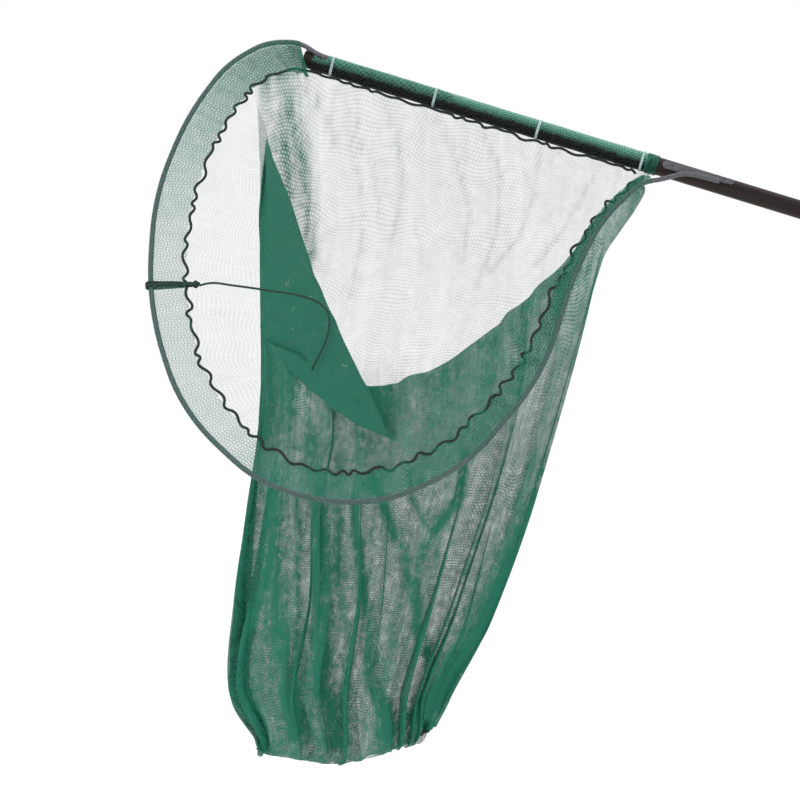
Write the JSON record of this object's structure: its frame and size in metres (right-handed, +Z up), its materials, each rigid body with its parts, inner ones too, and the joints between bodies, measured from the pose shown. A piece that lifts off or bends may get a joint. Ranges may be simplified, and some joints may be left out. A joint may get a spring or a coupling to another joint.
{
  "type": "landing net",
  "caption": "Large landing net: a round wooden pole, a D-shaped bow of steel rod beside it, and a deep fine-mesh bag laced to the bow.",
  "frame": {"origin": "on the pole's axis, where the hand or a rod clamp holds its rear end", "axes": "+Z up as the net hangs, +X level towards the pole's butt, which points down from the bow, and -Y to the side that the net's mouth faces"},
  "size_m": [1.6069, 0.4675, 1.1866],
  "materials": {
    "pole_wood": "dark stain under satin lacquer",
    "steel_rod": "dull zinc",
    "screw_steel": "zinc plated",
    "net": "knotless green nylon mesh",
    "net_casing": "folded green nylon mesh",
    "lacing": "black braided nylon",
    "tie_cord": "dark green twisted twine",
    "cable_tie": "natural nylon"
  },
  "bodies": {
    "root": {"handle_pole": "pole_wood", "bow_rod": "steel_rod", "tang_plate": "steel_rod", "tang_weld": "steel_rod", "tang_screws": "screw_steel", "pole_sleeve": "net_casing", "sleeve_hem": "net_casing", "cable_tie_1": "cable_tie", "cable_tie_2": "cable_tie", "cable_tie_3": "cable_tie", "cable_tie_4": "cable_tie", "bow_casing": "net_casing", "lacing_cord": "lacing", "tie_cord_loop": "tie_cord", "tie_cord_knot": "tie_cord", "tie_cord_tail": "tie_cord", "net_bag": "net", "bag_end_knot": "net"}
  },
  "joints": []
}
